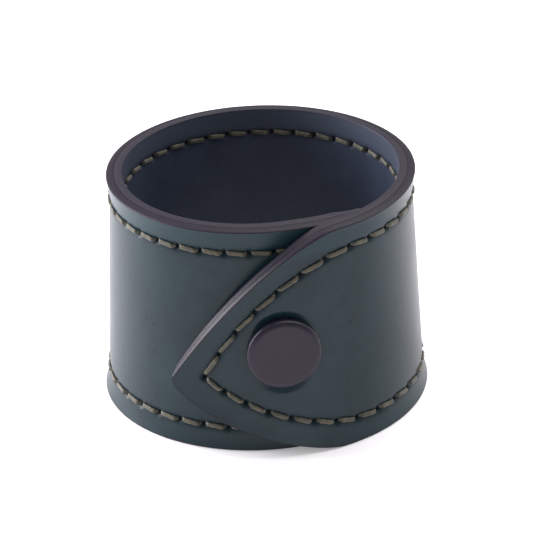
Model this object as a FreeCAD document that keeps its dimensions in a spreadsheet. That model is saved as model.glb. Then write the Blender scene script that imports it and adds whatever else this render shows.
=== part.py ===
"""A leather snap band: a short two-layer stitched sleeve closed by a pointed flap and one press stud.

The strap is one long strip of outer leather and lining, rolled into a ring. Seen from above, its
inner end lies under the flap at the front, so the ring is a spiral of three tangent arcs:
  front arc  centre C1, radius one half-step smaller, from the left side to the inner end
  back arc   centre C2, from the right side round the back to the left side
  flap arc   centre C1, radius one half-step larger, from the right side to the tip of the flap
A half-step is half of the strap's thickness plus the gap at the overlap, and C1 lies one half-step
to the left of C2. Angles are measured at the centres from the front (-Y) towards the right (+X).
Heights are measured from the surface that the ring stands on. The flap peels open along three
upright bend lines, so the strap is cut there into four pieces: band, root, mid and tip.
"""
import FreeCAD, Part
import Sketcher
import math
import os
from FreeCAD import Placement, Rotation, Vector

SIZES = {
    # the rolled strap
    "band_height": 40.0,
    "outer_leather": 1.2,
    "lining": 1.2,
    "overlap_gap": 0.7,
    "edge_coat": 0.25,
    "rim_radius_bottom": 27.95,
    "pinch_radius_bottom": 27.15,
    "pinch_radius_top": 25.75,
    "rim_radius_top": 26.25,
    "inner_end_angle": 38.0,
    # the bend lines of the flap
    "hinge_angle": 31.0,
    "hinge_step": 18.5,
    "hinge_cut_angle": 0.24,
    # outline of the flap, along the leather from the middle of the stud
    "upper_merge": 11.0,
    "upper_rim_handle": 10.5,
    "upper_tip_reach": 19.0,
    "upper_tip_height": 14.5,
    "upper_tip_slope": 57.0,
    "upper_tip_handle": 16.3,
    "tip_round_handle": 0.9,
    "lower_tip_reach": 18.3,
    "lower_tip_height": 11.8,
    "lower_tip_slope": 40.5,
    "lower_tip_handle": 9.4,
    "lower_rim_handle": 5.1,
    "lower_merge": 10.0,
    # stitching
    "stitch_inset": 4.1,
    "stitch_pitch": 4.4,
    "flap_stitches": 7,
    "seam_merge": 15.0,
    "seam_corner_reach": 13.4,
    "seam_corner_height": 14.6,
    "upper_seam_rim_handle": 12.0,
    "upper_seam_slope": 63.0,
    "upper_seam_handle": 13.2,
    "lower_seam_slope": 37.0,
    "lower_seam_handle": 10.2,
    "lower_seam_rim_handle": 8.2,
    "thread_width": 0.8,
    "thread_thickness": 0.15,
    "thread_lift": 0.09,
    "thread_radius": 0.34,
    "thread_gap": 0.24,
    "awl_hole_radius": 0.42,
    # press stud
    "snap_height": 19.25,
    "cap_radius": 6.25,
    "cap_thickness": 1.5,
    "cap_bevel": 0.45,
    "cap_seat_depth": 0.45,
    "shank_radius": 1.9,
    "shank_flare": 0.5,
    "shank_flare_thickness": 0.24,
    "socket_radius": 4.75,
    "socket_height": 1.6,
    "socket_back": 0.4,
    "socket_mouth_radius": 3.05,
    "spring_bore_radius": 2.4,
    "spring_wire_width": 0.8,
    "spring_thickness": 0.3,
    "spring_lip": 0.18,
    "spring_slit": 1.0,
    "stud_flange_radius": 4.0,
    "stud_flange_thickness": 0.85,
    "stud_waist_radius": 2.15,
    "stud_bulge_radius": 2.5,
    "stud_fillet": 0.15,
    "stud_reach": 0.27,
    "stud_bulge_length": 0.315,
    "stud_bulge_middle": 0.1575,
    "stud_bore_height": 0.42,
    "post_radius": 1.5,
    "post_bore_radius": 0.8,
    "post_flange_thickness": 0.6,
    "post_flange_bevel": 0.2,
    "metal_clearance": 0.08,
    "leather_clearance": 0.15,
}

doc = FreeCAD.newDocument("snap_band")
sheet = doc.addObject("Spreadsheet::Sheet", "Sizes")
for row, (alias, value) in enumerate(SIZES.items(), 1):
    sheet.set(f"A{row}", str(value))
    sheet.setAlias(f"A{row}", alias)
doc.recompute()


def size(alias):
    """The present value of one cell of the sheet."""
    return float(getattr(sheet, alias))


THICKNESS = "(Sizes.outer_leather + Sizes.lining)"
HALF_STEP = "((Sizes.outer_leather + Sizes.lining + Sizes.overlap_gap) / 2)"
half_step = (size("outer_leather") + size("lining") + size("overlap_gap")) / 2
thickness = size("outer_leather") + size("lining")

# Each arc: how many half-steps its radius is above the back arc, and its centre's place along X.
ARCS = {
    "front": (-1, f"-{HALF_STEP}", -half_step),
    "back": (0, "0", 0.0),
    "flap": (1, f"-{HALF_STEP}", -half_step),
}

# Outer surface of the back arc: (height, radius), flared at both rims and pinched at the seams.
LEVELS = (
    ("Sizes.edge_coat", "Sizes.rim_radius_bottom"),
    ("Sizes.stitch_inset", "Sizes.pinch_radius_bottom"),
    ("(Sizes.band_height - Sizes.stitch_inset)", "Sizes.pinch_radius_top"),
    ("(Sizes.band_height - Sizes.edge_coat)", "Sizes.rim_radius_top"),
)
TRIM = 1.0  # how far a piece stands past the flap's outline before it is trimmed to it
FLAP_BLANK_LEFT = -80.0  # angle where the untrimmed flap begins, past its tip at any size


# ---------------------------------------------------------------- bodies and their features

def new_body(label):
    """An empty body, placed so that the whole ring is centred on the origin."""
    body = doc.addObject("PartDesign::Body", label)
    body.Label = label
    body.AllowCompound = True
    body.setExpression("Placement.Base.y", f"{HALF_STEP} / 2")
    return body


def origin_plane(body, role):
    """One of the body's own origin planes."""
    return next(f for f in body.Origin.OriginFeatures if f.Role == role)


def draw_loop(sketch, points):
    """A closed outline of straight lines; each point is a pair of expressions."""
    first = sketch.GeometryCount
    count = len(points)
    for i in range(count):
        here = Vector(i, i * i, 0)
        there = Vector(i + 1, (i + 1) ** 2, 0) if i + 1 < count else Vector(0, 0, 0)
        sketch.addGeometry(Part.LineSegment(here, there), False)
    for i in range(count):
        following = first + (i + 1) % count
        sketch.addConstraint(Sketcher.Constraint("Coincident", first + i, 2, following, 1))
    for i, (across, up) in enumerate(points):
        for kind, expression in (("DistanceX", across), ("DistanceY", up)):
            number = sketch.addConstraint(Sketcher.Constraint(kind, first + i, 1, evaluate(expression)))
            sketch.setExpression(f"Constraints[{number}]", expression)


def evaluate(expression):
    """The number that an expression of the sheet comes to."""
    return float(sheet.evalExpression(expression.replace("Sizes.", "")))


def add_sector(body, name, arc, start, sweep, loops):
    """Turns the loops, drawn in the upright plane at the start angle, about the arc's centre."""
    sketch = body.newObject("Sketcher::SketchObject", f"{name}_profile")
    sketch.AttachmentSupport = [(origin_plane(body, "XZ_Plane"), "")]
    sketch.MapMode = "FlatFace"
    sketch.AttachmentOffset = Placement(Vector(0, 0, 0), Rotation(Vector(0, 1, 0), 1))
    sketch.setExpression("AttachmentOffset.Base.x", ARCS[arc][1])
    sketch.setExpression("AttachmentOffset.Rotation.Angle", f"{start} - 90")
    for loop in loops:
        draw_loop(sketch, loop)
    turn = body.newObject("PartDesign::Revolution", f"{name}_turn")
    turn.Profile = sketch
    turn.ReferenceAxis = (sketch, ["V_Axis"])
    turn.setExpression("Angle", sweep)
    sketch.Visibility = False
    return turn


def wall_loop(arc, outer_depth, inner_depth, levels=LEVELS):
    """Cross-section of a layer between two depths below the strap's outer surface."""
    step = f"{ARCS[arc][0]} * {HALF_STEP}"
    outer = [(f"{radius} + {step} - {outer_depth}", height) for height, radius in levels]
    inner = [(f"{radius} + {step} - {inner_depth}", height) for height, radius in levels]
    return outer + inner[::-1]


def rim_loops(arc):
    """Cross-sections of the edge coat under and over the leather."""
    bottom = (("0", "Sizes.rim_radius_bottom"), ("Sizes.edge_coat", "Sizes.rim_radius_bottom"))
    top = (
        ("(Sizes.band_height - Sizes.edge_coat)", "Sizes.rim_radius_top"),
        ("Sizes.band_height", "Sizes.rim_radius_top"),
    )
    return [wall_loop(arc, "0", THICKNESS, levels) for levels in (bottom, top)]


CUT = "Sizes.hinge_cut_angle / 2"
HINGES = [f"Sizes.hinge_angle + {n} * Sizes.hinge_step" for n in range(3)]
COAT_ANGLE = "Sizes.edge_coat / (Sizes.pinch_radius_top - {0}) * 180 / pi".format(HALF_STEP)
LAYERS = {
    "outer_leather": ("0", "Sizes.outer_leather"),
    "lining": ("Sizes.outer_leather", THICKNESS),
}


def strap_spans(piece):
    """The arcs that a piece of the strap runs along: (arc, start angle, sweep)."""
    if piece == "band":
        flap_start = f"({HINGES[2]} + {CUT})"
        front_sweep = f"90 + Sizes.inner_end_angle - {COAT_ANGLE}"
        return [
            ("flap", flap_start, f"90 - {flap_start}"),
            ("back", "90", "180"),
            ("front", "-90", front_sweep),
        ]
    index = {"mid": 0, "root": 1}[piece]
    start = f"({HINGES[index]} + {CUT})"
    return [("flap", start, f"Sizes.hinge_step - 2 * {CUT}")]


def leather_blank(layer, piece):
    """A layer of leather of one piece of the strap, before it is pierced."""
    body = new_body(f"{layer}_{piece}_blank")
    for arc, start, sweep in strap_spans(piece):
        add_sector(body, f"{layer}_{piece}_{arc}", arc, start, sweep, [wall_loop(arc, *LAYERS[layer])])
    return body


def edge_coat(piece):
    """The paint on the cut edges of one piece of the strap."""
    body = new_body(f"edge_coat_{piece}")
    for arc, start, sweep in strap_spans(piece):
        for place, loop in zip(("bottom", "top"), rim_loops(arc)):
            add_sector(body, f"edge_coat_{piece}_{arc}_{place}", arc, start, sweep, [loop])
    if piece == "band":
        start = f"(Sizes.inner_end_angle - {COAT_ANGLE})"
        to_the_rims = (("0", LEVELS[0][1]), *LEVELS, ("Sizes.band_height", LEVELS[-1][1]))
        loop = wall_loop("front", "0", THICKNESS, to_the_rims)
        add_sector(body, "edge_coat_band_end", "front", start, COAT_ANGLE, [loop])
    return body


def flap_blank(label, outer_depth, inner_depth):
    """A layer of the flap's tip, taller and longer than its outline."""
    body = new_body(f"{label}_blank")
    levels = (
        (f"-{TRIM}", "Sizes.rim_radius_bottom"),
        *LEVELS,
        (f"(Sizes.band_height + {TRIM})", "Sizes.rim_radius_top"),
    )
    sweep = f"{HINGES[0]} - {CUT} - ({FLAP_BLANK_LEFT})"
    loop = wall_loop("flap", outer_depth, inner_depth, levels)
    add_sector(body, f"{label}_sector", "flap", f"({FLAP_BLANK_LEFT})", sweep, [loop])
    return body


# ---------------------------------------------------------------- the flap's outline

def outer_radius(height):
    """Outer radius of the back arc at a height."""
    table = [(evaluate(level), evaluate(radius)) for level, radius in LEVELS]
    if height <= table[0][0]:
        return table[0][1]
    for (z0, r0), (z1, r1) in zip(table, table[1:]):
        if height <= z1:
            return r0 + (r1 - r0) * (height - z0) / (z1 - z0)
    return table[-1][1]


# Lengths along the flap are measured at this radius, where they turn into angles
FLAP_RADIUS = outer_radius(size("band_height") / 2) + half_step
PATTERN_ZERO = 1.5 * math.pi  # where a cylinder's own angle points to the front
CURVE_POINTS = 10  # stretches that a curve of the outline is drawn through
CURVE_STEP = 0.001  # how far along a curve its direction is read, as a share
CUTTER_OVERLAP = 4.0  # degrees that the outline's cutter runs past the first bend line


def slanted(reach, height, slope, handle, upward):
    """The handle of a curve that leaves (-reach, height) to the right at a slope."""
    angle = math.radians(slope)
    return (-reach + handle * math.cos(angle), height + upward * handle * math.sin(angle))


def flap_outline():
    """The flap's edge as three cubic curves, from the top rim round the tip to the bottom rim."""
    top = size("band_height")
    over = (size("upper_tip_reach"), size("upper_tip_height"), size("upper_tip_slope"))
    under = (size("lower_tip_reach"), size("lower_tip_height"), size("lower_tip_slope"))
    upper_end = (-over[0], over[1])
    lower_start = (-under[0], under[1])
    round_handle = size("tip_round_handle")
    upper = [
        (size("upper_merge"), top),
        (size("upper_merge") - size("upper_rim_handle"), top),
        slanted(*over, size("upper_tip_handle"), 1),
        upper_end,
    ]
    tip = [
        upper_end,
        slanted(*over, -round_handle, 1),
        slanted(*under, -round_handle, -1),
        lower_start,
    ]
    lower = [
        lower_start,
        slanted(*under, size("lower_tip_handle"), -1),
        (size("lower_merge") - size("lower_rim_handle"), 0.0),
        (size("lower_merge"), 0.0),
    ]
    return [upper, tip, lower]


def seam_outline():
    """The flap's seam as two cubic curves that meet in a sharp corner: upper, then lower."""
    top = size("band_height") - size("stitch_inset")
    corner = (size("seam_corner_reach"), size("seam_corner_height"))
    corner_point = (-corner[0], corner[1])
    merge = size("seam_merge")
    upper = [
        (merge, top),
        (merge - size("upper_seam_rim_handle"), top),
        slanted(*corner, size("upper_seam_slope"), size("upper_seam_handle"), 1),
        corner_point,
    ]
    lower = [
        corner_point,
        slanted(*corner, size("lower_seam_slope"), size("lower_seam_handle"), -1),
        (merge - size("lower_seam_rim_handle"), size("stitch_inset")),
        (merge, size("stitch_inset")),
    ]
    return [upper, lower]


def cubic_point(controls, t):
    """A point of a cubic curve."""
    weights = ((1 - t) ** 3, 3 * t * (1 - t) ** 2, 3 * t * t * (1 - t), t ** 3)
    return tuple(sum(w * c[axis] for w, c in zip(weights, controls)) for axis in (0, 1))


def inset_points(controls, inset, count):
    """Points of a cubic curve, moved to its left side by the inset."""
    points = []
    for i in range(count + 1):
        t = i / count
        ahead = cubic_point(controls, min(t + CURVE_STEP, 1.0))
        behind = cubic_point(controls, max(t - CURVE_STEP, 0.0))
        along = math.hypot(ahead[0] - behind[0], ahead[1] - behind[1])
        normal = (-(ahead[1] - behind[1]) / along, (ahead[0] - behind[0]) / along)
        place = cubic_point(controls, t)
        points.append((place[0] + inset * normal[0], place[1] + inset * normal[1]))
    return points


def outline_cutter(label, inset):
    """A solid with the flap's outline, its sides square to the leather, past both of its faces."""
    right = FLAP_RADIUS * math.radians(size("hinge_angle") + CUTTER_OVERLAP)
    top = size("band_height") - inset
    stretches = [inset_points(controls, inset, CURVE_POINTS) for controls in flap_outline()]
    corners = [(right, inset), (right, top)]
    stretches[0][0] = (size("upper_merge"), top)
    stretches[1][0] = stretches[0][-1]
    stretches[2][0] = stretches[1][-1]
    stretches[2][-1] = (size("lower_merge"), inset)
    stretches.append([stretches[2][-1], corners[0]])
    stretches.append([corners[0], corners[1]])
    stretches.append([corners[1], stretches[0][0]])
    faces = []
    near = size("pinch_radius_top") + half_step - thickness - 2 * TRIM
    far = size("rim_radius_bottom") + half_step + TRIM
    rings = {near: [], far: []}
    for stretch in stretches:
        for radius, ring in rings.items():
            ring.append(pattern_curve(stretch).toShape(pattern_cylinder(radius)))
    for inner, outer in zip(*rings.values()):
        faces.append(Part.makeRuledSurface(inner, outer))
    for radius, ring in rings.items():
        cap = Part.Face(pattern_cylinder(radius), Part.Wire(ring))
        cap.validate()
        faces.append(cap)
    shell = Part.makeShell(faces)
    shell.sewShape()
    solid = Part.makeSolid(shell)
    if solid.Volume < 0:
        solid.reverse()
    feature = doc.addObject("Part::Feature", label)
    feature.Shape = solid
    feature.setExpression("Placement.Base.y", f"{HALF_STEP} / 2")
    return feature


def pattern_cylinder(radius):
    """A cylinder about C1 that carries the flap's pattern."""
    cylinder = Part.Cylinder()
    cylinder.Center = Vector(-half_step, 0, 0)
    cylinder.Radius = radius
    return cylinder


def pattern_curve(points):
    """A smooth curve through points of the pattern, as angle and height on a cylinder about C1."""
    places = [FreeCAD.Base.Vector2d(PATTERN_ZERO + a / FLAP_RADIUS, z) for a, z in points]
    if len(places) == 2:
        return Part.Geom2d.Line2dSegment(places[0], places[1])
    curve = Part.Geom2d.BSplineCurve2d()
    curve.interpolate(places)
    return curve


# ---------------------------------------------------------------- stitching

class Station:
    """A place on a seam: where on the strap it is, and whether the thread goes through there."""

    def __init__(self, arc, angle, height, pierced=True):
        self.step, _, self.centre_x = ARCS[arc]
        self.angle = math.radians(angle)
        self.height = height
        self.pierced = pierced

    def outward(self):
        """The level direction square to the leather."""
        return Vector(math.sin(self.angle), -math.cos(self.angle), 0)

    def point(self, depth):
        """The point at a depth below the outer surface."""
        radius = outer_radius(self.height) + self.step * half_step - depth
        return self.outward() * radius + Vector(self.centre_x, 0, self.height)


def bar(start, end, outward, far_side):
    """A flat stretch of thread between two points, lying on the far side or the near side of them."""
    along = (end - start).normalize()
    side = outward.cross(along).normalize()
    up = along.cross(side)
    width, height = size("thread_width"), size("thread_thickness")
    box = Part.makeBox(start.distanceToPoint(end), width, height)
    corner = start - side * (width / 2) - (up * 0 if far_side else up * height)
    box.Placement = Placement(corner, Rotation(along, side, up, "XZY"))
    return box


def leg(station, radius, outer_end, inner_end):
    """The thread's way through both layers at a station, or the awl's hole for it."""
    start = station.point(-outer_end)
    return Part.makeCylinder(radius, thickness + outer_end + inner_end, start, -station.outward())


def thread_stop(seam, index):
    """How far short of a hole the flat stretches of thread stop, so that neighbours never overlap."""
    if not seam[index].pierced:
        return 0
    stop = size("thread_gap") / 2
    if 0 < index < len(seam) - 1:
        before, here, after = (seam[i].point(0) for i in (index - 1, index, index + 1))
        turn = (here - before).getAngle(after - here)
        stop = max(stop, size("thread_width") / 2 * math.tan(turn / 2) + size("thread_gap") / 8)
    return stop


def stitch_runs(seam):
    """The stretches of thread on both faces of the leather, from hole to hole of a seam."""
    runs = []
    for index, (here, there) in enumerate(zip(seam, seam[1:])):
        outward = (here.outward() + there.outward()).normalize()
        chord = there.point(0) - here.point(0)
        along = Vector(chord).normalize()
        first, last = along * thread_stop(seam, index), along * thread_stop(seam, index + 1)
        radius = outward.dot(here.point(0) - Vector(here.centre_x, 0, 0))
        lift = size("thread_lift") + chord.Length ** 2 / (8 * radius)
        inner = thickness + size("thread_lift")
        runs.append(bar(here.point(-lift) + first, there.point(-lift) - last, outward, True))
        runs.append(bar(here.point(inner) + first, there.point(inner) - last, outward, False))
    return runs


def thread_legs(seam):
    """The thread in the holes of a seam, with a flat head on both faces where the seam turns a corner."""
    legs = []
    outer_end = size("thread_lift") + size("thread_thickness")
    inner_end = size("thread_lift") + size("thread_thickness") / 2
    clear = size("thread_lift") / 2
    for index, station in enumerate(seam):
        if not station.pierced:
            continue
        legs.append(leg(station, size("thread_radius"), outer_end, inner_end))
        stop = thread_stop(seam, index)
        if stop > size("thread_gap"):
            radius, inward = stop + size("thread_gap") / 2, -station.outward()
            legs.append(Part.makeCylinder(radius, outer_end - clear, station.point(-outer_end), inward))
            inner_face = station.point(thickness + clear)
            legs.append(Part.makeCylinder(radius, inner_end - clear, inner_face, inward))
    return legs


def add_stitching(piece, seams):
    """The thread of one piece of the strap: one node, a separate solid for each seam."""
    threads = []
    for seam in seams:
        parts = stitch_runs(seam) + thread_legs(seam)
        threads.append(parts[0].fuse(parts[1:]))
    feature = doc.addObject("Part::Feature", f"stitching_{piece}")
    feature.Shape = Part.makeCompound([solid for thread in threads for solid in thread.Solids])
    feature.setExpression("Placement.Base.y", f"{HALF_STEP} / 2")
    return feature


def awl_holes(piece, seams):
    """The pierced holes of one piece of the strap, to be cut from its leather."""
    holes = {}
    for seam in seams:
        for station in seam:
            if station.pierced:
                place = station.point(0)
                holes[(round(place.x, 3), round(place.y, 3), round(place.z, 3))] = station
    cutters = [leg(s, size("awl_hole_radius"), TRIM, TRIM) for s in holes.values()]
    feature = doc.addObject("Part::Feature", f"awl_holes_{piece}")
    feature.Shape = Part.makeCompound(cutters)
    feature.setExpression("Placement.Base.y", f"{HALF_STEP} / 2")
    return feature


def evenly(arc, start, end, count, height):
    """Stations spread evenly from one angle up to, but not on, another."""
    return [Station(arc, start + (end - start) * i / count, height) for i in range(count)]


def stitch_count(length):
    """The whole number of stitches nearest to the pitch along a length."""
    return max(1, round(length / size("stitch_pitch")))


def band_seam():
    """Top seam from the flap round to the inner end, down across it and back along the bottom."""
    inset, top = size("stitch_inset"), size("band_height") - size("stitch_inset")
    hinge = size("hinge_angle") + 2 * size("hinge_step")
    spacing = size("hinge_step") / 2
    radius = outer_radius(size("band_height") / 2)
    front_radius = radius - half_step
    end_angle = size("inner_end_angle") - math.degrees(inset / front_radius)
    back_count = stitch_count(math.pi * radius)
    front_count = stitch_count(math.radians(90 + end_angle) * front_radius)
    rows = []
    for height in (top, inset):
        row = [Station("flap", hinge + size("hinge_cut_angle") / 2, height, False)]
        row += [Station("flap", angle, height) for angle in (hinge + spacing / 2, hinge + 1.5 * spacing)]
        row += evenly("back", 90, 270, back_count, height)
        row += evenly("front", -90, end_angle, front_count, height)
        rows.append(row)
    end_count = stitch_count(top - inset)
    end = [Station("front", end_angle, top - (top - inset) * i / end_count) for i in range(end_count + 1)]
    return [rows[0] + end + rows[1][::-1]]


def short_seams(index):
    """The top and bottom seams of a short piece between two bend lines."""
    start = size("hinge_angle") + index * size("hinge_step")
    cut, spacing = size("hinge_cut_angle") / 2, size("hinge_step") / 2
    seams = []
    for height in (size("band_height") - size("stitch_inset"), size("stitch_inset")):
        seams.append([
            Station("flap", start + cut, height, False),
            Station("flap", start + spacing / 2, height),
            Station("flap", start + 1.5 * spacing, height),
            Station("flap", start + 2 * spacing - cut, height, False),
        ])
    return seams


def flap_seam():
    """The seam that follows the flap's outline, from the bend line to the tip and back."""
    cut, spacing = size("hinge_cut_angle") / 2, size("hinge_step") / 2
    hinge = size("hinge_angle")
    upper, lower = seam_outline()
    first = FLAP_RADIUS * math.radians(hinge - spacing / 2)
    count = round(size("flap_stitches"))
    path = along_curve(upper, first, count) + along_curve(lower[::-1], first, count)[::-1][1:]
    stations = [Station("flap", math.degrees(a / FLAP_RADIUS), z) for a, z in path]
    ends = [Station("flap", hinge - cut, row[1], False) for row in (path[0], path[-1])]
    return [[ends[0], *stations, ends[1]]]


def along_curve(controls, first, count):
    """Points spread evenly along a cubic curve, from where it passes the first reach to its end."""
    fine = [cubic_point(controls, i * CURVE_STEP) for i in range(round(1 / CURVE_STEP) + 1)]
    fine = [p for p in fine if p[0] <= first]
    lengths = [0.0]
    for p, q in zip(fine, fine[1:]):
        lengths.append(lengths[-1] + math.hypot(q[0] - p[0], q[1] - p[1]))
    points = []
    for i in range(count + 1):
        wanted = lengths[-1] * i / count
        nearest = min(range(len(fine)), key=lambda k: abs(lengths[k] - wanted))
        points.append(fine[nearest])
    return points


# ---------------------------------------------------------------- press stud

SNAP_RADIUS = (
    "(Sizes.pinch_radius_bottom + (Sizes.pinch_radius_top - Sizes.pinch_radius_bottom)"
    " * (Sizes.snap_height - Sizes.stitch_inset) / (Sizes.band_height - 2 * Sizes.stitch_inset))"
)
FLAP_FACE = f"-({SNAP_RADIUS} + {HALF_STEP})"
BAND_FACE = f"-({SNAP_RADIUS} - {HALF_STEP})"
RECESS_REACH = 5.0  # how far a recess for the press stud runs past both faces of the leather


def turned_piece(label, face, outlines):
    """A round piece of the press stud: outlines of (depth below the face, radius), turned fully."""
    body = new_body(label)
    for number, outline in enumerate(outlines):
        sketch = body.newObject("Sketcher::SketchObject", f"{label}_profile_{number}")
        sketch.AttachmentSupport = [(origin_plane(body, "YZ_Plane"), "")]
        sketch.MapMode = "FlatFace"
        sketch.setExpression("AttachmentOffset.Base.x", face)
        sketch.setExpression("AttachmentOffset.Base.y", "Sizes.snap_height")
        sketch.setExpression("AttachmentOffset.Base.z", f"-{HALF_STEP}")
        draw_loop(sketch, outline)
        turn = body.newObject("PartDesign::Revolution", f"{label}_turn_{number}")
        turn.Profile = sketch
        turn.ReferenceAxis = (sketch, ["H_Axis"])
        turn.Angle = 360
        sketch.Visibility = False
    return body


def ring_outline(near, far, inner, outer):
    """A rectangle of the outline of a turned piece."""
    return [(near, inner), (far, inner), (far, outer), (near, outer)]


def snap_cap():
    """The cap, with the shank that goes through the flap and is flared inside the socket."""
    socket_floor = "(Sizes.outer_leather + Sizes.socket_back)"
    flare_start = f"({socket_floor} + Sizes.metal_clearance)"
    flare_end = f"({flare_start} + Sizes.shank_flare_thickness)"
    front = "(Sizes.cap_seat_depth - Sizes.cap_thickness)"
    outline = [
        (front, "0"),
        (front, "Sizes.cap_radius - Sizes.cap_bevel"),
        (f"{front} + Sizes.cap_bevel", "Sizes.cap_radius"),
        ("Sizes.cap_seat_depth", "Sizes.cap_radius"),
        ("Sizes.cap_seat_depth", "Sizes.shank_radius"),
        (flare_start, "Sizes.shank_radius"),
        (flare_start, "Sizes.shank_radius + Sizes.shank_flare"),
        (flare_end, "Sizes.shank_radius + Sizes.shank_flare"),
        (flare_end, "0"),
    ]
    return turned_piece("snap_cap", FLAP_FACE, [outline])


SPRING_END = "(Sizes.outer_leather + Sizes.socket_height - Sizes.spring_lip)"
SPRING_START = f"({SPRING_END} - Sizes.spring_thickness)"
SPRING_OUTER = "(Sizes.spring_bore_radius + Sizes.spring_wire_width)"
# The stud's head stands through the spring, and reaches a little past it
STUD_TOP = f"({SPRING_START} - Sizes.stud_reach - 2 * {HALF_STEP})"


def snap_socket():
    """The socket under the flap: a cup with a groove for the spring behind its lip."""
    start = "Sizes.outer_leather"
    floor = "(Sizes.outer_leather + Sizes.socket_back)"
    end = "(Sizes.outer_leather + Sizes.socket_height)"
    groove_near = f"({SPRING_START} - Sizes.metal_clearance / 2)"
    groove_far = f"({SPRING_END} + Sizes.metal_clearance / 2)"
    groove_radius = f"({SPRING_OUTER} + Sizes.metal_clearance)"
    outline = [
        (start, "Sizes.shank_radius + Sizes.metal_clearance"),
        (floor, "Sizes.shank_radius + Sizes.metal_clearance"),
        (floor, "Sizes.socket_mouth_radius"),
        (groove_near, "Sizes.socket_mouth_radius"),
        (groove_near, groove_radius),
        (groove_far, groove_radius),
        (groove_far, "Sizes.socket_mouth_radius"),
        (end, "Sizes.socket_mouth_radius"),
        (end, "Sizes.socket_radius"),
        (start, "Sizes.socket_radius"),
    ]
    return turned_piece("snap_socket", FLAP_FACE, [outline])


def socket_spring():
    """The split ring in the socket's groove that grips the stud below its bulge."""
    ring = turned_piece(
        "socket_spring_ring", FLAP_FACE,
        [ring_outline(SPRING_START, SPRING_END, "Sizes.spring_bore_radius", SPRING_OUTER)],
    )
    slit = doc.addObject("Part::Box", "socket_spring_slit")
    slit.setExpression("Length", "Sizes.spring_slit")
    slit.setExpression("Width", "4 * Sizes.spring_thickness")
    slit.setExpression("Height", "2 * Sizes.socket_radius")
    slit.setExpression("Placement.Base.x", f"-{HALF_STEP} - Sizes.spring_slit / 2")
    middle = f"{FLAP_FACE} + {SPRING_START} + Sizes.spring_thickness / 2 + {HALF_STEP} / 2"
    slit.setExpression("Placement.Base.y", f"{middle} - 2 * Sizes.spring_thickness")
    slit.setExpression("Placement.Base.z", "Sizes.snap_height")
    return cut_piece("socket_spring", ring, slit)


def snap_stud():
    """The stud: a flange let into the band and a bulging head that enters the socket."""
    outline = [
        ("Sizes.stud_flange_thickness", "Sizes.post_radius + Sizes.metal_clearance"),
        ("Sizes.stud_flange_thickness", "Sizes.stud_flange_radius"),
        ("0", "Sizes.stud_flange_radius"),
        ("0", "Sizes.stud_waist_radius + Sizes.stud_fillet"),
        ("-Sizes.stud_fillet", "Sizes.stud_waist_radius"),
        (f"{STUD_TOP} + Sizes.stud_bulge_length", "Sizes.stud_waist_radius"),
        (f"{STUD_TOP} + Sizes.stud_bulge_middle", "Sizes.stud_bulge_radius"),
        (STUD_TOP, "Sizes.stud_waist_radius"),
        (STUD_TOP, "0"),
        ("-Sizes.stud_bore_height", "0"),
        ("-Sizes.stud_bore_height", "Sizes.post_radius + Sizes.metal_clearance"),
    ]
    return turned_piece("snap_stud", BAND_FACE, [outline])


def snap_post():
    """The hollow post that holds the stud from inside the ring."""
    far_end = "(-Sizes.stud_bore_height + Sizes.metal_clearance)"
    inside = f"({THICKNESS} + Sizes.post_flange_thickness)"
    outline = [
        (far_end, "0"),
        (far_end, "Sizes.post_radius"),
        (THICKNESS, "Sizes.post_radius"),
        (THICKNESS, "Sizes.stud_flange_radius"),
        (inside, "Sizes.stud_flange_radius - Sizes.post_flange_bevel"),
        (inside, "Sizes.post_bore_radius"),
        ("Sizes.stud_flange_thickness", "Sizes.post_bore_radius"),
        ("Sizes.stud_flange_thickness", "0"),
    ]
    return turned_piece("snap_post", BAND_FACE, [outline])


def flap_snap_recess():
    """What the cap and the socket press into and through the flap's leather."""
    window = "Sizes.socket_radius + Sizes.leather_clearance"
    seat = "Sizes.cap_radius + Sizes.leather_clearance"
    bore = "Sizes.shank_radius + Sizes.metal_clearance"
    below_seat = "Sizes.cap_seat_depth - Sizes.metal_clearance"
    return turned_piece("flap_snap_recess", FLAP_FACE, [
        ring_outline(f"-{RECESS_REACH}", "Sizes.cap_seat_depth", "0", seat),
        ring_outline(below_seat, f"{RECESS_REACH}", "0", bore),
        ring_outline("Sizes.outer_leather", f"{RECESS_REACH}", "0", window),
    ])


def band_snap_recess():
    """What the stud and its post press into and through the band's leather."""
    flange = "Sizes.stud_flange_radius + Sizes.leather_clearance"
    return turned_piece("band_snap_recess", BAND_FACE, [
        ring_outline(f"-{RECESS_REACH}", "Sizes.stud_flange_thickness", "0", flange),
        ring_outline("0", f"{RECESS_REACH}", "0", "Sizes.post_radius + Sizes.metal_clearance"),
        ring_outline(THICKNESS, f"{RECESS_REACH}", "0", flange),
    ])


# ---------------------------------------------------------------- the finished pieces

def cut_piece(label, base, *tools):
    """A piece with the tools cut from it, one after the other."""
    for number, tool in enumerate(tools, 1):
        cut = doc.addObject("Part::Cut", label if number == len(tools) else f"{label}_{number}")
        cut.Base = base
        cut.Tool = tool
        base = cut
    cut.Label = label
    return cut


def common_piece(label, base, tool):
    """The part of a piece that lies inside a tool."""
    shared = doc.addObject("Part::Common", label)
    shared.Base = base
    shared.Tool = tool
    return shared


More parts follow.
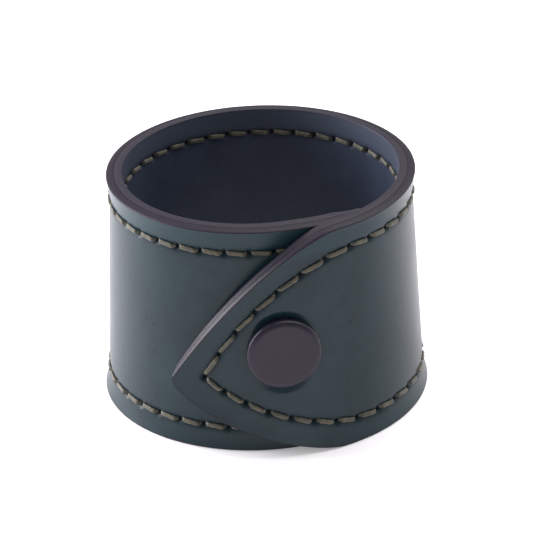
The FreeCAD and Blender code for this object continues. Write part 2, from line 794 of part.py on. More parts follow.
def build():
    """Makes every piece and returns the finished ones."""
    pieces = []
    recesses = {"band": [band_snap_recess()], "tip": [flap_snap_recess()]}
    seams = {"band": band_seam(), "root": short_seams(1), "mid": short_seams(0), "tip": flap_seam()}
    holes = {piece: awl_holes(piece, rows) for piece, rows in seams.items()}
    leather_outline = outline_cutter("leather_outline", size("edge_coat"))
    coat_outline = outline_cutter("coat_outline", 0.0)
    for piece in ("band", "root", "mid"):
        for layer in LAYERS:
            blank = leather_blank(layer, piece)
            tools = [holes[piece], *recesses.get(piece, [])]
            pieces.append(cut_piece(f"{layer}_{piece}", blank, *tools))
        pieces.append(edge_coat(piece))
    for layer, depths in LAYERS.items():
        blank = flap_blank(f"{layer}_tip", *depths)
        trimmed = common_piece(f"{layer}_tip_trimmed", blank, leather_outline)
        pieces.append(cut_piece(f"{layer}_tip", trimmed, holes["tip"], *recesses["tip"]))
    coat_blank = common_piece("edge_coat_tip_trimmed", flap_blank("edge_coat_tip", "0", THICKNESS), coat_outline)
    pieces.append(cut_piece("edge_coat_tip", coat_blank, leather_outline))
    pieces += [add_stitching(piece, rows) for piece, rows in seams.items()]
    pieces += [snap_cap(), snap_socket(), socket_spring(), snap_stud(), snap_post()]
    return pieces


def check(pieces):
    """Stops if any object failed or any finished piece has no sound shape."""
    for item in doc.Objects:
        if "Invalid" in item.State or "Error" in item.State:
            raise RuntimeError(f"{item.Label} did not recompute: {item.State}")
    for piece in pieces:
        if piece.Shape.isNull() or not piece.Shape.isValid() or not piece.Shape.Solids:
            raise RuntimeError(f"{piece.Label} has no sound shape")


finished = build()
doc.recompute()
check(finished)
os.makedirs("parts", exist_ok=True)
for piece in finished:
    piece.Shape.exportStep(f"parts/{piece.Label}.step")
    print(f"{piece.Label}: {len(piece.Shape.Solids)} solids, {piece.Shape.Volume:.1f} mm3", flush=True)
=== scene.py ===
import math

import bpy
import numpy as np
from mathutils import Matrix, Vector


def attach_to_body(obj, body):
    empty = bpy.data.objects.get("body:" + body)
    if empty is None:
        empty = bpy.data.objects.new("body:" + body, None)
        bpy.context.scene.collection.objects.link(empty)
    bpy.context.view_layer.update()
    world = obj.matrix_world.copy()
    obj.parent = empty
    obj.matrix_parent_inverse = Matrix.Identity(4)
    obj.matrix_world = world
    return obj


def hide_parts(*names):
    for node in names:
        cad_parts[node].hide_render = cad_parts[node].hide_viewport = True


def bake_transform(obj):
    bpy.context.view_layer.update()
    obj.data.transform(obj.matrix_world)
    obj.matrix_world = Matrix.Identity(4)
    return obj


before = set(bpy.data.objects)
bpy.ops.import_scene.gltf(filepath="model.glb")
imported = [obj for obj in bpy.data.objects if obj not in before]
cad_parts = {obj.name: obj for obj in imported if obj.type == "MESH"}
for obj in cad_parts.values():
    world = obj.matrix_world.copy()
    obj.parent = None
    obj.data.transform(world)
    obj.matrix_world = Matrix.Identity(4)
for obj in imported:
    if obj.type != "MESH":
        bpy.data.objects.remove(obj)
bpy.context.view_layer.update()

# Lengths are millimetres until a mesh is made. The strap is drawn flat and then rolled: a point has
# a turn (degrees round the ring, 0 at the front, rising towards the right and on round the back),
# a height, and a depth below the outer surface. The turn runs from the flap's tip, about -39,
# through 90 (right), 180 (back) and 270 (left) to the inner end at 398, under the flap.
MM = 0.001
HEIGHT = 40.0
OUTER_LEATHER = 1.2
LINING_LEATHER = 1.2
THICKNESS = OUTER_LEATHER + LINING_LEATHER
OVERLAP_GAP = 0.7
LAYER_LAP = 0.02  # each layer's hidden face lies this far inside the other layer
HALF_STEP = (THICKNESS + OVERLAP_GAP) / 2
CENTRE_Y = HALF_STEP / 2
INNER_END = 398.0

# Outer radius of the back: a straight taper, with a lip flared outward above and below the seams
STITCH_INSET = 4.1
PINCH_BOTTOM = 27.15
PINCH_TOP = 25.75
LIP_FLARE = 0.65
LIP_POWER = 1.6
LIP_TILT = 0.17  # how far the top lip's painted face leans outward, as a slope
LIP_SWELL = 0.14  # how much thicker the leather is at a rim than at the seams, as a share
FLAP_LIP_FLARE = 0.55
FLAP_CURL_START = 0.5  # the flap's edge starts to curl this far from the top and bottom rims
FLAP_EDGE_INSET = 0.4  # along the flap's upper edge the outer leather stops short by this
FLAP_EDGE_OUTSET = 0.85  # and the lining stands out by this, so the painted edge slopes
FLAP_OUTSET_FADE = (20.0, HEIGHT - 2.0)  # heights between which the lining's outset ends
FLAP_SLOPE_FADE = 1.5  # below the top rim, where the slope ends
FLAP_SLOPE_POWER = 0.7

# The inner end is thinned and lies against the flap, which the press stud holds off further along
GAP_CLOSED = 0.62
GAP_CLOSING = (366.0, 390.0)
END_THINNING = 0.5
END_TAPER = (384.0, INNER_END)

FIRST_HINGE = 31.0
HINGE_STEP = 18.5
HINGES = tuple(FIRST_HINGE + HINGE_STEP * i for i in range(3))
BLEND_REACH = 7.2  # degrees each side of a bend line at which attach works out a point that is not used

# The strap is made in four sections, cut midway between the bend lines
SECTIONS = ("tip", "mid", "root", "band")
SECTION_TURNS = tuple(hinge + HINGE_STEP / 2 for hinge in HINGES)
SECTION_STARTS = dict(zip(SECTIONS[1:], SECTION_TURNS))
PAST_CUT = 1.0  # a stitch whose middle is less than this past a cut goes with the section before it
END_CORNER = 0.6  # radius of the inner end's corners

# Painted edge
PAINT_DEPTH = 0.3
PAINT_PROUD = 0.02
PAINT_GROOVE = 0.07
PAINT_GROOVE_WIDTH = 0.13
PAINT_ROUNDING = 0.62
LEATHER_INSET = 0.8 * PAINT_DEPTH  # the leather's cut sides lie this far inside the painted edge

# Stitching
STITCH_PITCH = 4.4
THREAD_HALF_WIDTH = 0.4
THREAD_HALF_HEIGHT = 0.27
THREAD_LIFT = 0.06
THREAD_START = 0.42  # how far from the middle of a hole the thread shows
THREAD_DIVE = 1.0  # how far from the hole it has risen to lie on the leather
THREAD_DIVE_LEAD = 0.12  # it starts to rise this much nearer the hole than it shows
THREAD_SINK = 0.55  # depth of the thread's middle before it rises
THREAD_SLANT = 0.2  # how far each end of a stitch lies off the seam's line
THREAD_NARROWEST = 0.75
THREAD_FULL = 1.3  # distance from a hole at which the thread has its full width
PLY_COUNT = 3
PLY_PITCH = 1.5
PLY_DEPTH = 0.1
SEAM_PINCH = 0.17
SEAM_WIDTH = 0.6
HOLE_DENT = 0.45
HOLE_WIDTH = 0.5

# How much wider than the relief the painted shade round a hole and along a seam is
HOLE_SHADE = 1.15
SEAM_SHADE = 1.3
LIP_SHADE = (-0.2, 1.2)  # heights above the top seam between which the lip is painted lighter, a painted light on the top lip

# Press stud
SNAP_HEIGHT = 19.25
CAP_RADIUS = 6.25
CAP_FRONT = -1.2
CAP_BEVEL = 1.15
CAP_BEVEL_DEPTH = 0.8
CAP_DISH = 0.05
CAP_DISH_SHAPE = ((0.0, 1.0), (0.6, 0.7), (0.93, 0.0))  # shares of the flat radius and of the dish
CAP_UNDERCUT = 0.1
CAP_PRESS_EDGE = 1.4
SHANK_RADIUS = 1.9
SHANK_END = 1.9
CAP_SEAT = 0.45
LEATHER_CLEARANCE = 0.15
SOCKET_WINDOW = 4.75 + LEATHER_CLEARANCE
STUD_FLANGE = 4.0 + LEATHER_CLEARANCE
STUD_SEAT = 0.3
STUD_PRESS_EDGE = 0.8

# Fineness of the meshes
COLUMN_STEP = 0.45
ROWS = 110
OUTLINE_STEP = 0.2
RIM_STEP = 0.3
EDGE_LINE_STEP = 0.6
EDGE_LINE_START = 30.0  # the flap's edge is followed from this length on
EDGE_POINTS = 90
TIP_POINTS = 25
SEAM_POINTS = 400
FLAP_SEAM_HOLES = 8  # along each of the flap's two lines of stitching
PAINT_POINTS = 27
CORNER_POINTS = 9
END_POINTS = 60
THREAD_RINGS = 26
THREAD_SIDES = 16
BEVEL_POINTS = 11
CAP_SEGMENTS = 96
WINDOW_PULL = 0.6  # share of a column within which a point is drawn to the socket window's circle
FAR = 1e9  # more than any distance on the strap


# ---------------------------------------------------------------- the rolled strap

def smooth_step(low, high, value):
    """0 below low, 1 above high, and smooth between them."""
    t = np.clip((value - low) / (high - low), 0, 1)
    return t * t * (3 - 2 * t)


def lip_shares(height):
    """How far up the top lip and how far down the bottom lip a height is, from 0 at the seams."""
    above = np.clip((height - (HEIGHT - STITCH_INSET)) / STITCH_INSET, 0, 1)
    below = np.clip((STITCH_INSET - height) / STITCH_INSET, 0, 1)
    return above, below


def outer_radius(height):
    """Outer radius of the back at a height."""
    span = HEIGHT - 2 * STITCH_INSET
    taper = (PINCH_BOTTOM - PINCH_TOP) / span
    radius = PINCH_BOTTOM - taper * (height - STITCH_INSET)
    above, below = lip_shares(height)
    return radius + LIP_FLARE * (above ** LIP_POWER + below ** LIP_POWER)


FLAP_RADIUS = float(outer_radius(np.array(HEIGHT / 2))) + HALF_STEP
FRONT_RADIUS = FLAP_RADIUS - 2 * HALF_STEP


def rolled(turn, height, depth):
    """Points of the ring, in millimetres, from turn, height and depth."""
    turn, height, depth = np.broadcast_arrays(turn, height, depth)
    step = np.where(turn < 90, 1.0, np.where(turn <= 270, 0.0, -1.0))
    centre_x = np.where(step == 0, 0.0, -HALF_STEP)
    ending = smooth_step(*END_TAPER, turn)
    depth = depth * (1 - END_THINNING * ending) - GAP_CLOSED * smooth_step(*GAP_CLOSING, turn)
    above, below = lip_shares(height)
    swelling = LIP_SWELL * np.maximum(above, below) ** LIP_POWER
    depth = depth * (1 + swelling * (1 - ending))
    radius = outer_radius(height) + step * HALF_STEP - depth
    lean = LIP_TILT * depth * above
    angle = np.radians(turn)
    x = centre_x + radius * np.sin(angle)
    y = CENTRE_Y - radius * np.cos(angle)
    return np.stack([x, y, height + lean], axis=-1)


def along_to_turn(along):
    """Turn of a length along the flap, from the middle of the press stud."""
    return np.degrees(along / FLAP_RADIUS)


def turn_to_along(turn):
    """Length along the strap of a turn, from the middle of the press stud."""
    return np.radians(turn) * FLAP_RADIUS


# ---------------------------------------------------------------- the flap's outline

def cubic(controls, count):
    """Points of a cubic curve."""
    t = np.linspace(0, 1, count)[:, None]
    start, first, second, end = np.array(controls)
    middle = 3 * t * (1 - t) ** 2 * first + 3 * t * t * (1 - t) * second
    return (1 - t) ** 3 * start + middle + t ** 3 * end


def slanted(start, slope, handle, upward):
    """The handle of a curve that leaves a point to the right at a slope."""
    angle = math.radians(slope)
    return (start[0] + handle * math.cos(angle), start[1] + upward * handle * math.sin(angle))


# Places in the flat, slopes in degrees, and how long the curves' handles are
UPPER_TIP, UPPER_SLOPE, UPPER_HANDLE = (-19.0, 14.5), 57.0, 16.3
LOWER_TIP, LOWER_SLOPE, LOWER_HANDLE = (-18.3, 11.8), 40.5, 9.4
TIP_HANDLE = -0.9
UPPER_MERGE, UPPER_RIM_HANDLE = 11.0, 10.5
LOWER_MERGE, LOWER_RIM_HANDLE = 10.0, 5.1
SEAM_CORNER, SEAM_MERGE = (-13.4, 14.6), 15.0
UPPER_SEAM_SLOPE, UPPER_SEAM_HANDLE, UPPER_SEAM_RIM_HANDLE = 63.0, 13.2, 12.0
LOWER_SEAM_SLOPE, LOWER_SEAM_HANDLE, LOWER_SEAM_RIM_HANDLE = 37.0, 10.2, 8.2
UPPER_EDGE = cubic(
    [
        (UPPER_MERGE, HEIGHT),
        (UPPER_MERGE - UPPER_RIM_HANDLE, HEIGHT),
        slanted(UPPER_TIP, UPPER_SLOPE, UPPER_HANDLE, 1),
        UPPER_TIP,
    ],
    EDGE_POINTS,
)
TIP_EDGE = cubic(
    [
        UPPER_TIP,
        slanted(UPPER_TIP, UPPER_SLOPE, TIP_HANDLE, 1),
        slanted(LOWER_TIP, LOWER_SLOPE, TIP_HANDLE, -1),
        LOWER_TIP,
    ],
    TIP_POINTS,
)
LOWER_EDGE = cubic(
    [
        LOWER_TIP,
        slanted(LOWER_TIP, LOWER_SLOPE, LOWER_HANDLE, -1),
        (LOWER_MERGE - LOWER_RIM_HANDLE, 0.0),
        (LOWER_MERGE, 0.0),
    ],
    EDGE_POINTS,
)
UPPER_SEAM = cubic(
    [
        (SEAM_MERGE, HEIGHT - STITCH_INSET),
        (SEAM_MERGE - UPPER_SEAM_RIM_HANDLE, HEIGHT - STITCH_INSET),
        slanted(SEAM_CORNER, UPPER_SEAM_SLOPE, UPPER_SEAM_HANDLE, 1),
        SEAM_CORNER,
    ],
    SEAM_POINTS,
)
LOWER_SEAM = cubic(
    [
        SEAM_CORNER,
        slanted(SEAM_CORNER, LOWER_SEAM_SLOPE, LOWER_SEAM_HANDLE, -1),
        (SEAM_MERGE - LOWER_SEAM_RIM_HANDLE, STITCH_INSET),
        (SEAM_MERGE, STITCH_INSET),
    ],
    SEAM_POINTS,
)


def evenly_spaced(points, count):
    """Points spread evenly along a line through points."""
    lengths = np.concatenate([[0], np.cumsum(np.linalg.norm(np.diff(points, axis=0), axis=1))])
    wanted = np.linspace(0, lengths[-1], count)
    return np.stack([np.interp(wanted, lengths, points[:, axis]) for axis in (0, 1)], axis=1)


def side_normals(points):
    """Unit directions to the left of a line through points."""
    tangent = np.gradient(points, axis=0)
    normal = np.stack([-tangent[:, 1], tangent[:, 0]], axis=1)
    return normal / np.linalg.norm(normal, axis=1, keepdims=True)


def flap_contour(along_start, step):
    """The flap's edge from the top rim at a length round the tip to the bottom rim, evenly spaced."""
    top, bottom = (along_start, HEIGHT), (along_start, 0.0)
    line = np.concatenate([[top], UPPER_EDGE, TIP_EDGE[1:], LOWER_EDGE[1:], [bottom]])
    length = np.linalg.norm(np.diff(line, axis=0), axis=1).sum()
    return evenly_spaced(line, int(length / step))


# ---------------------------------------------------------------- stitching holes

def stitch_rows():
    """The holes along the strap's long seams, as turns, from the bend lines round to the inner end."""
    turns = []
    for hinge in HINGES:
        turns += [hinge + HINGE_STEP / 4, hinge + 3 * HINGE_STEP / 4]
    back_radius = FLAP_RADIUS - HALF_STEP
    back_count = round(math.pi * back_radius / STITCH_PITCH)
    turns += list(np.linspace(90, 270, back_count, endpoint=False))
    last = INNER_END - math.degrees(STITCH_INSET / FRONT_RADIUS)
    front_count = round(math.radians(last - 270) * FRONT_RADIUS / STITCH_PITCH)
    turns += list(np.linspace(270, last, front_count + 1))
    return turns


def flap_holes():
    """The holes of the flap's own seam, upper line to the corner and on along the lower line."""
    first = float(turn_to_along(HINGES[0] - HINGE_STEP / 4))
    lines = []
    for line in (UPPER_SEAM, LOWER_SEAM[::-1]):
        lines.append(evenly_spaced(line[line[:, 0] <= first], FLAP_SEAM_HOLES))
    points = np.concatenate([lines[0], lines[1][::-1][1:]])
    return [(float(along_to_turn(a)), float(z)) for a, z in points]


def all_stitches():
    """Every stitch as a pair of holes, each hole a turn and a height."""
    turns = stitch_rows()
    top, bottom = HEIGHT - STITCH_INSET, STITCH_INSET
    end_count = round((top - bottom) / STITCH_PITCH)
    end = [(turns[-1], z) for z in np.linspace(top, bottom, end_count + 1)]
    flap = flap_holes()
    chain = [(t, top) for t in turns[:-1]] + end + [(t, bottom) for t in turns[:-1][::-1]]
    chain += flap[::-1]
    chain.append((turns[0], top))
    return list(zip(chain, chain[1:]))


STITCHES = all_stitches()
HOLES = np.array([stitch[0] for stitch in STITCHES])
HOLES_FLAT = np.stack([turn_to_along(HOLES[:, 0]), HOLES[:, 1]], axis=1)
SEAM_FLAT = np.array(
    [[(turn_to_along(t0), z0), (turn_to_along(t1), z1)] for (t0, z0), (t1, z1) in STITCHES]
)


def hole_distance(along, height):
    """Distance in the flat to the nearest stitching hole."""
    nearest = np.full(along.shape, FAR)
    for a, z in HOLES_FLAT:
        np.minimum(nearest, np.hypot(along - a, height - z), out=nearest)
    return nearest


def seam_distance(along, height):
    """Distance in the flat to the nearest line of stitching."""
    nearest = np.full(along.shape, FAR)
    for (a0, z0), (a1, z1) in SEAM_FLAT:
        run, rise = a1 - a0, z1 - z0
        t = np.clip(((along - a0) * run + (height - z0) * rise) / (run * run + rise * rise), 0, 1)
        np.minimum(nearest, np.hypot(along - a0 - t * run, height - z0 - t * rise), out=nearest)
    return nearest


# ---------------------------------------------------------------- meshes

def make_object(name, points, faces, normals=None, values=None):
    """A smooth mesh object from points in millimetres, with its rest place and other values stored."""
    mesh = bpy.data.meshes.new(name)
    mesh.from_pydata((np.asarray(points) * MM).tolist(), [], [list(f) for f in faces])
    mesh.polygons.foreach_set("use_smooth", [True] * len(mesh.polygons))
    rest = mesh.attributes.new("rest_place", "FLOAT_VECTOR", "POINT")
    rest.data.foreach_set("vector", np.asarray(points, np.float32).ravel())
    for key, numbers in (values or {}).items():
        layer = mesh.attributes.new(key, "FLOAT", "POINT")
        layer.data.foreach_set("value", np.asarray(numbers, np.float32).ravel())
    mesh.update()
    if normals is not None:
        mesh.normals_split_custom_set_from_vertices(np.asarray(normals).tolist())
    piece = bpy.data.objects.new(name, mesh)
    bpy.context.scene.collection.objects.link(piece)
    return piece


def grid_faces(columns, rows, offset=0, flip=False):
    """Quads of a grid of points, column after column."""
    faces = []
    for i in range(columns - 1):
        for j in range(rows - 1):
            a = offset + i * rows + j
            quad = (a, a + rows, a + rows + 1, a + 1)
            faces.append(quad[::-1] if flip else quad)
    return faces


def grid_normals(points, outward):
    """Normals of a grid of points by differences between neighbours."""
    normal = np.cross(np.gradient(points, axis=0), np.gradient(points, axis=1))
    normal /= np.linalg.norm(normal, axis=-1, keepdims=True)
    return normal * outward


def section_span(section):
    """Lengths along the strap at which a section starts and ends."""
    start = SECTION_STARTS[section]
    end = INNER_END if section == "band" else start + HINGE_STEP
    return float(turn_to_along(start)), float(turn_to_along(end))


def column_lengths(first, last):
    """Lengths of evenly spaced columns, with a spare one beyond each end."""
    lengths = np.linspace(first, last, int((last - first) / COLUMN_STEP) + 1)
    step = lengths[1] - lengths[0]
    return np.concatenate([[first - step], lengths, [last + step]])


def tip_patch(low, high):
    """The flap's tip in the flat: a grid fitted between its four sides, with spare columns."""
    rows = np.linspace(0, 1, ROWS)
    start = float(turn_to_along(SECTION_TURNS[0]))
    outline = flap_contour(start, OUTLINE_STEP)
    outline = outline + side_normals(outline) * LEATHER_INSET
    tip_upper = int(np.argmin(np.hypot(*(outline - UPPER_TIP).T)))
    tip_lower = int(np.argmin(np.hypot(*(outline - LOWER_TIP).T)))
    count = int((start - UPPER_TIP[0]) / COLUMN_STEP) + 1
    upper = evenly_spaced(outline[: tip_upper + 1], count)[::-1]
    lower = evenly_spaced(outline[tip_lower:], count)
    tip = evenly_spaced(outline[tip_upper : tip_lower + 1], ROWS)[::-1]
    upper[-1], lower[-1] = (start, high), (start, low)
    side = np.stack([np.full(ROWS, start), low + (high - low) * rows], axis=1)
    u = np.linspace(0, 1, count)[:, None, None]
    v = rows[None, :, None]
    grid = (1 - v) * lower[:, None] + v * upper[:, None] + (1 - u) * tip[None] + u * side[None]
    corners = (1 - u) * (1 - v) * lower[0] + (1 - u) * v * upper[0]
    corners = corners + u * (1 - v) * lower[-1] + u * v * upper[-1]
    grid = grid - corners
    ahead = side + (COLUMN_STEP, 0)
    grid = np.concatenate([2 * grid[:1] - grid[1:2], grid, ahead[None]])
    return grid[..., 0], grid[..., 1]


def flat_patch(section):
    """The leather of a section in the flat: lengths and heights of a grid, with a spare column at each
    end that continues into the next section. Columns run from the flap's side towards the inner end."""
    low, high = LEATHER_INSET, HEIGHT - LEATHER_INSET
    if section == "tip":
        return tip_patch(low, high)
    first, last = section_span(section)
    if section == "band":
        last = last - LEATHER_INSET
    heights = low + (high - low) * np.linspace(0, 1, ROWS)
    return np.meshgrid(column_lengths(first, last), heights, indexing="ij")


def snap_press(along, height, reach, seat, edge):
    """How far the press stud's plate presses the leather in, and back out to the plain surface."""
    radius = np.hypot(along, height - SNAP_HEIGHT)
    hollow = np.clip(seat - along ** 2 / (2 * FLAP_RADIUS), 0, None)
    return hollow * (1 - smooth_step(reach, reach + edge, radius))


def leather_relief(section, face, along, height):
    """Depth added to a face by the seams, the stitching holes and the press stud. The stud's own place
    on the band is one full turn on from the cap's on the flap."""
    pinch = SEAM_PINCH * np.exp(-(seam_distance(along, height) / SEAM_WIDTH) ** 2)
    dent = HOLE_DENT * np.exp(-(hole_distance(along, height) / HOLE_WIDTH) ** 2)
    relief = pinch + dent
    if face == "outer" and section == "tip":
        relief = relief + snap_press(along, height, CAP_RADIUS, CAP_SEAT, CAP_PRESS_EDGE)
    if face == "outer" and section == "band":
        over = along - float(turn_to_along(360.0))
        relief = relief + snap_press(over, height, STUD_FLANGE, STUD_SEAT, STUD_PRESS_EDGE)
    return relief


EDGE_LINE = flap_contour(EDGE_LINE_START, EDGE_LINE_STEP)
EDGE_NORMALS = -side_normals(EDGE_LINE)


def near_edge(along, height):
    """How close a point is to the flap's edge, 1 there and 0 at the seam, and the way out over it."""
    nearest = np.full(along.shape, FAR)
    way = np.zeros((*along.shape, 2))
    for (a, z), normal in zip(EDGE_LINE, EDGE_NORMALS):
        distance = np.hypot(along - a, height - z)
        closer = distance < nearest
        nearest = np.where(closer, distance, nearest)
        way[closer] = normal
    return np.clip((STITCH_INSET - nearest) / STITCH_INSET, 0, 1), way


def flap_rolled(along, height, depth):
    """Points of the flap, whose edges curl away from the ring and whose upper edge is cut at a slope."""
    along, height, depth = np.broadcast_arrays(along, height, depth)
    close, way = near_edge(along, height)
    rim = np.minimum(height, HEIGHT - height)
    inside = smooth_step(FLAP_CURL_START, STITCH_INSET, rim)
    lift = FLAP_LIP_FLARE * close ** LIP_POWER * inside
    upward = np.sqrt(np.clip(way[..., 1], 0, 1)) * smooth_step(0.0, FLAP_SLOPE_FADE, HEIGHT - height)
    outset = FLAP_EDGE_OUTSET * (1 - smooth_step(*FLAP_OUTSET_FADE, height))
    slope = FLAP_EDGE_INSET - (FLAP_EDGE_INSET + outset) * depth / THICKNESS
    pull = slope * close ** FLAP_SLOPE_POWER * upward
    turn = along_to_turn(along - way[..., 0] * pull)
    return rolled(turn, height - way[..., 1] * pull, depth - lift)


def section_points(section, along, height, depth):
    """Points of a section of the strap, in millimetres."""
    if section == "tip":
        return flap_rolled(along, height, depth)
    return rolled(along_to_turn(along), height, depth)


def border_ring(columns):
    """The points round the border of a grid of points, in order."""
    last = ROWS - 1
    ring = [i * ROWS for i in range(columns)]
    ring += [(columns - 1) * ROWS + j for j in range(1, ROWS)]
    ring += [i * ROWS + last for i in range(columns - 2, -1, -1)]
    ring += list(range(last - 1, 0, -1))
    return np.array(ring)


def leather_values(along, height):
    """What the material reads at each point of the shown face."""
    return {
        # hole and seam carry the painted shade round the holes and along the seams; lip carries the
        # painted light on the top lip
        "hole": np.exp(-(hole_distance(along, height) / (HOLE_WIDTH * HOLE_SHADE)) ** 2),
        "seam": np.exp(-(seam_distance(along, height) / (SEAM_WIDTH * SEAM_SHADE)) ** 2),
        "lip": smooth_step(*LIP_SHADE, height - (HEIGHT - STITCH_INSET)),
    }


def leather_piece(layer, section):
    """One layer of leather of one section: its shown face in relief, its hidden face and its sides."""
    along, height = flat_patch(section)
    outer = layer == "outer_leather"
    face_depth = 0.0 if outer else THICKNESS
    inward = 1.0 if outer else -1.0
    relief = leather_relief(section, "outer" if outer else "inner", along, height)
    shown = section_points(section, along, height, face_depth + inward * relief)
    hidden = section_points(section, along, height, OUTER_LEATHER + LAYER_LAP * inward)
    normals = grid_normals(shown, inward)[1:-1]
    shown, hidden, along, height = (grid[1:-1] for grid in (shown, hidden, along, height))
    columns = shown.shape[0]
    total = columns * ROWS
    faces = grid_faces(columns, ROWS, 0, flip=not outer)
    faces += grid_faces(columns, ROWS, total, flip=outer)
    ring = border_ring(columns)
    flat_shown, flat_hidden = shown.reshape(-1, 3), hidden.reshape(-1, 3)
    points = np.concatenate([flat_shown, flat_hidden, flat_shown[ring], flat_hidden[ring]])
    count = len(ring)
    side_start = 2 * total
    for k in range(count):
        here, there = side_start + k, side_start + (k + 1) % count
        quad = (here, there, there + count, here + count)
        faces.append(quad[::-1] if outer else quad)
    if section == "tip" and not outer:
        middle = np.stack([along, height - SNAP_HEIGHT], axis=-1).reshape(-1, 2)
        points, faces = open_window(points, faces, middle, total)
    padded = np.zeros((len(points), 3))
    padded[:total] = normals.reshape(-1, 3)
    rest = np.zeros(len(points) - total)
    values = {}
    for key, numbers in leather_values(along, height).items():
        values[key] = np.concatenate([numbers.ravel(), rest])
    return make_object(f"{layer}_{section}_made", points, faces, padded, values)


def open_window(points, faces, middle, total):
    """Cuts the round window for the socket through the flap's lining and rounds off its edge."""
    radius = np.hypot(middle[:, 0], middle[:, 1])
    near = np.abs(radius - SOCKET_WINDOW) < COLUMN_STEP * WINDOW_PULL
    inside = radius < SOCKET_WINDOW - COLUMN_STEP * WINDOW_PULL
    for k in np.nonzero(near)[0]:
        shift = SOCKET_WINDOW / radius[k] - 1
        turn = math.radians(float(along_to_turn(middle[k, 0])))
        move = (middle[k, 0] * shift * math.cos(turn), middle[k, 0] * shift * math.sin(turn))
        for place in (k, k + total):
            points[place] += (move[0], move[1], middle[k, 1] * shift)
    gone = set(np.nonzero(inside)[0]) | set(np.nonzero(inside)[0] + total)
    kept = [f for f in faces if not any(v in gone for v in f)]
    return points, kept


def paint_profile():
    """The domed section of the edge paint: pairs of (reach outward from the edge, depth)."""
    points = []
    for angle in np.linspace(0, math.pi, PAINT_POINTS):
        depth = THICKNESS / 2 - (THICKNESS / 2 + PAINT_PROUD) * math.cos(angle)
        groove = PAINT_GROOVE * math.exp(-((depth - OUTER_LEATHER) / PAINT_GROOVE_WIDTH) ** 2)
        dome = PAINT_DEPTH * math.sin(angle) ** PAINT_ROUNDING
        points.append((-PAINT_DEPTH + dome - groove, depth))
    return np.array(points)


def tip_rim():
    """The painted edge of the flap's tip: from the top rim round the point to the bottom rim."""
    line = flap_contour(float(turn_to_along(SECTION_TURNS[0])), RIM_STEP)
    normal = -side_normals(line)
    step = (RIM_STEP, 0)
    line = np.concatenate([[line[0] + step], line, [line[-1] + step]])
    normal = np.concatenate([[(0, 1)], normal, [(0, -1)]])
    normal[1], normal[-2] = (0, 1), (0, -1)
    return line, normal


def band_rim():
    """The painted edge of the band: along the top rim, down the inner end, back along the bottom."""
    first, last = section_span("band")
    lengths = np.arange(first - COLUMN_STEP, last - END_CORNER, COLUMN_STEP)
    lengths[1] = first
    arc = np.radians(np.linspace(90, 0, CORNER_POINTS))
    way_round = np.stack([np.cos(arc), np.sin(arc)], axis=1)
    top = np.stack([lengths, np.full(len(lengths), HEIGHT)], axis=1)
    round_top = (last - END_CORNER, HEIGHT - END_CORNER) + END_CORNER * way_round
    heights = np.linspace(HEIGHT - END_CORNER, END_CORNER, END_POINTS)[1:-1]
    down = np.stack([np.full(len(heights), last), heights], axis=1)
    upper = np.concatenate([top, round_top])
    lower = upper[::-1] * (1, -1) + (0, HEIGHT)
    out_top = np.concatenate([np.tile((0.0, 1.0), (len(top), 1)), way_round])
    out_end = np.tile((1.0, 0.0), (len(down), 1))
    line = np.concatenate([upper, down, lower])
    return line, np.concatenate([out_top, out_end, out_top[::-1] * (1, -1)])


def rim_lines(section):
    """The edges of a section that are painted: (lengths and heights, outward directions), with a spare
    point at each end."""
    if section == "tip":
        return [tip_rim()]
    if section == "band":
        return [band_rim()]
    lengths = column_lengths(*section_span(section))
    lines = []
    for height, way in ((HEIGHT, 1.0), (0.0, -1.0)):
        line = np.stack([lengths, np.full(len(lengths), height)], axis=1)
        lines.append((line, np.tile((0.0, way), (len(lengths), 1))))
    return lines


def paint_piece(section):
    """The painted edge of one section, swept along its rims."""
    profile = paint_profile()
    count = len(profile)
    points, faces, normals, across = [], [], [], []
    for line, normal in rim_lines(section):
        along = line[:, :1] + normal[:, :1] * profile[:, 0]
        height = line[:, 1:] + normal[:, 1:] * profile[:, 0]
        depth = np.broadcast_to(profile[:, 1], along.shape)
        swept = section_points(section, along, height, depth)
        middle = swept.mean(axis=1, keepdims=True)
        facing = grid_normals(swept, 1.0)
        inward = bool(np.sum(facing * (swept - middle)) < 0)
        if inward:
            facing = -facing
        swept, facing = swept[1:-1], facing[1:-1]
        start = sum(len(p) for p in points)
        points.append(swept.reshape(-1, 3))
        normals.append(facing.reshape(-1, 3))
        across.append(np.tile(profile[:, 1] / THICKNESS, len(swept)))
        faces += grid_faces(len(swept), count, start, flip=inward)
    return make_object(
        f"edge_coat_{section}_made",
        np.concatenate(points),
        faces,
        np.concatenate(normals),
        {"across": np.concatenate(across)},
    )


